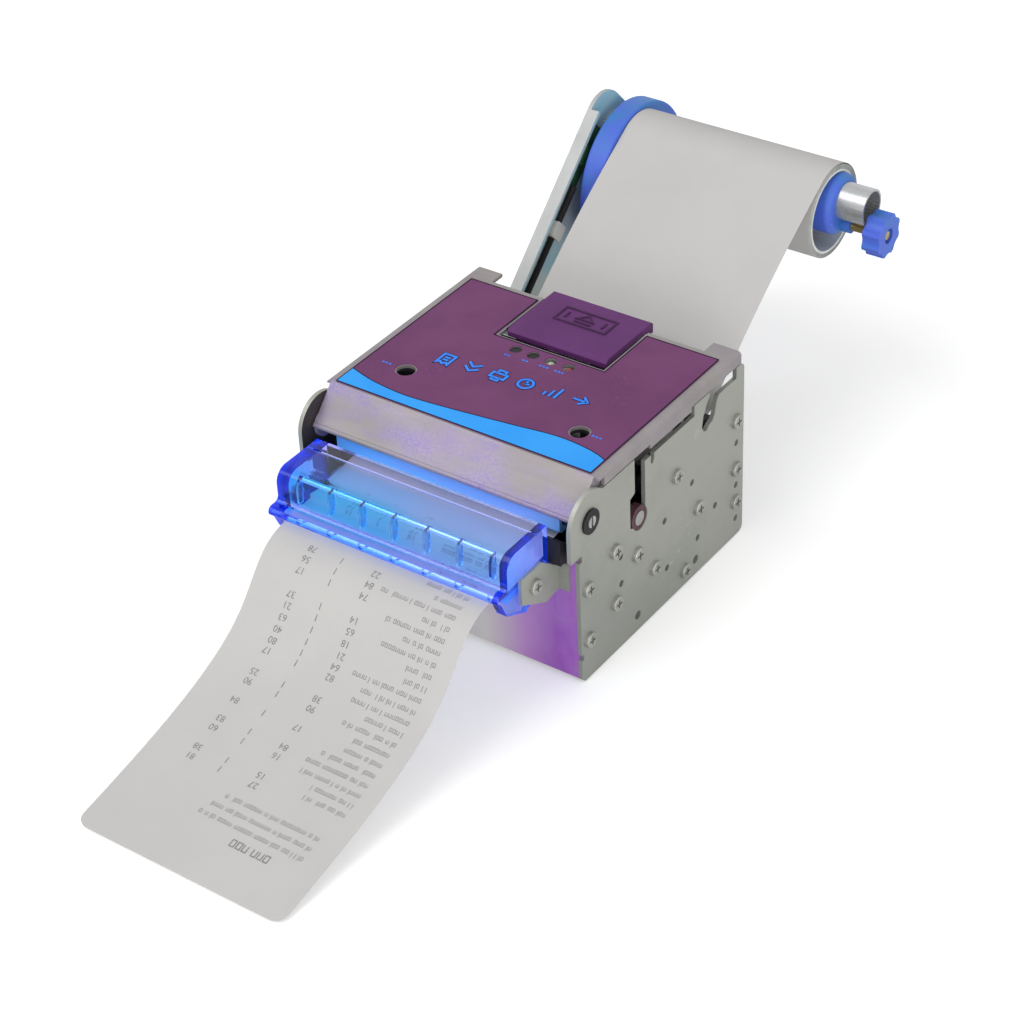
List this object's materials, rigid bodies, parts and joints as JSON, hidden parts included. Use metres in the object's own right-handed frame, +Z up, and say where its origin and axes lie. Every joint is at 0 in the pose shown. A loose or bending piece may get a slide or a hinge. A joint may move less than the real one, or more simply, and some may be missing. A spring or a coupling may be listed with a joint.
{
  "type": "thermal receipt printer",
  "caption": "Open-frame thermal receipt printer with a hinged lid, release lever, paper cutter, transparent paper mouth and a rear arm that carries a paper roll.",
  "frame": {"origin": "centre of the base plate's underside", "axes": "+Y points to the rear, where the roll holder is; +Z points up; the receipt comes out towards -Y"},
  "size_m": [0.1171, 0.346, 0.1039],
  "materials": {
    "steel": "satin",
    "lid_steel": "satin",
    "panel_steel": "gloss",
    "screw_steel": "satin",
    "shaft_steel": "polished",
    "arm_metal": "satin",
    "aluminium": "satin",
    "brass": "satin",
    "black_plastic": "matte",
    "white_plastic": "satin",
    "purple_plastic": "satin",
    "blue_plastic": "satin",
    "clear_blue": "gloss",
    "label_film": "satin",
    "lamp": "gloss",
    "rubber": "matte",
    "bush_plastic": "satin",
    "board": "satin",
    "ceramic": "satin",
    "paper": "matte",
    "cardboard": "matte"
  },
  "bodies": {
    "printer": {"base_plate": "steel", "right_side_plate": "steel", "left_side_plate": "steel", "mechanism_cheeks": "steel", "front_panel": "panel_steel", "rear_panel": "steel", "panel_screws": "screw_steel", "hinge_bushes": "black_plastic", "mouth_hood": "clear_blue", "mouth_guide": "blue_plastic", "mouth_brackets": "steel", "end_blocks": "black_plastic", "paper_guide": "black_plastic", "platen_bushes": "bush_plastic", "feed_motor": "screw_steel", "drive_bracket": "steel", "cutter_frame": "steel", "cutter_motor": "screw_steel", "latch_pins": "shaft_steel", "control_board": "board", "board_posts": "brass", "data_port": "screw_steel", "power_inlet": "black_plastic", "roll_arm": "arm_metal", "arm_screws": "screw_steel", "spindle_tube": "aluminium", "guide_disc": "blue_plastic", "low_paper_sensor": "board", "sensor_cable": "rubber", "cable_clip": "white_plastic", "receipt_paper": "paper", "paper_web": "paper"},
    "lid": {"lid_cover": "lid_steel", "lid_label": "label_film", "lid_frame": "steel", "upper_guide": "blue_plastic", "hinge_pins": "shaft_steel", "fixed_blade": "shaft_steel", "status_leds": "lamp", "button_board": "board", "head_springs": "shaft_steel"},
    "thermal_head": {"head_plate": "aluminium", "print_head": "ceramic"},
    "release": {"release_lever": "purple_plastic", "latch_shaft": "shaft_steel", "latch_hooks": "steel"},
    "feed_key": {"feed_button": "black_plastic"},
    "reset_key": {"reset_button": "black_plastic"},
    "platen": {"platen_shaft": "shaft_steel", "platen_rubber": "rubber", "platen_gear": "white_plastic"},
    "idler": {"idler_gear": "white_plastic"},
    "drive_pinion": {"motor_pinion": "brass"},
    "cutter_blade": {"moving_blade": "shaft_steel"},
    "cutter_drive": {"cutter_pinion": "white_plastic"},
    "roll": {"paper_core": "cardboard", "paper_roll": "paper"},
    "hub": {"lock_hub": "blue_plastic"},
    "knob": {"lock_knob": "blue_plastic", "knob_screw": "brass"}
  },
  "joints": [
    {"name": "lid_hinge", "type": "hinge", "parent": "printer", "child": "lid", "pos_m": [0, -0.0427, 0.0601], "axis": [1, 0, 0], "range_deg": [0, 70]},
    {"name": "release_pull", "type": "hinge", "parent": "lid", "child": "release", "pos_m": [0, 0.026, 0.062], "axis": [1, 0, 0], "range_deg": [0, 15], "stiffness_Nm_per_rad": 0.05},
    {"name": "head_float", "type": "slide", "parent": "lid", "child": "thermal_head", "axis": [0, 0, 1], "range_m": [0, 0.001], "stiffness_N_per_m": 1500, "springref_m": -0.001, "deforming": ["head_springs"]},
    {"name": "feed_press", "type": "slide", "parent": "lid", "child": "feed_key", "axis": [0, 0, -1], "range_m": [0, 0.0005], "stiffness_N_per_m": 400},
    {"name": "reset_press", "type": "slide", "parent": "lid", "child": "reset_key", "axis": [0, 0, -1], "range_m": [0, 0.0005], "stiffness_N_per_m": 400},
    {"name": "platen_spin", "type": "hinge", "parent": "printer", "child": "platen", "pos_m": [0, -0.0146, 0.0437], "axis": [1, 0, 0], "continuous": true},
    {"name": "idler_spin", "type": "hinge", "parent": "printer", "child": "idler", "pos_m": [-0.047, -0.00651, 0.02969], "axis": [1, 0, 0], "continuous": true},
    {"name": "pinion_spin", "type": "hinge", "parent": "printer", "child": "drive_pinion", "pos_m": [-0.047, 0.00541, 0.02535], "axis": [1, 0, 0], "continuous": true},
    {"name": "cutter_stroke", "type": "slide", "parent": "printer", "child": "cutter_blade", "axis": [0, 0, 1], "range_m": [0, 0.005]},
    {"name": "cutter_turn", "type": "hinge", "parent": "printer", "child": "cutter_drive", "pos_m": [0.034, -0.0326, 0.026], "axis": [0, 1, 0], "range_deg": [0, 95]},
    {"name": "roll_spin", "type": "hinge", "parent": "printer", "child": "roll", "pos_m": [0, 0.13012, 0.08081], "axis": [1, 0, 0], "continuous": true},
    {"name": "hub_slide", "type": "slide", "parent": "printer", "child": "hub", "axis": [1, 0, 0], "range_m": [0, 0.012]},
    {"name": "knob_turn", "type": "hinge", "parent": "hub", "child": "knob", "pos_m": [0.057, 0.132, 0.0763], "axis": [1, 0, 0], "continuous": true}
  ],
  "couplings": [
    {"joint": "idler_spin", "follows": "platen_spin", "ratio": -0.91667},
    {"joint": "pinion_spin", "follows": "platen_spin", "ratio": 1.8333},
    {"joint": "cutter_turn", "follows": "cutter_stroke", "rad_per_m": 238.1}
  ]
}
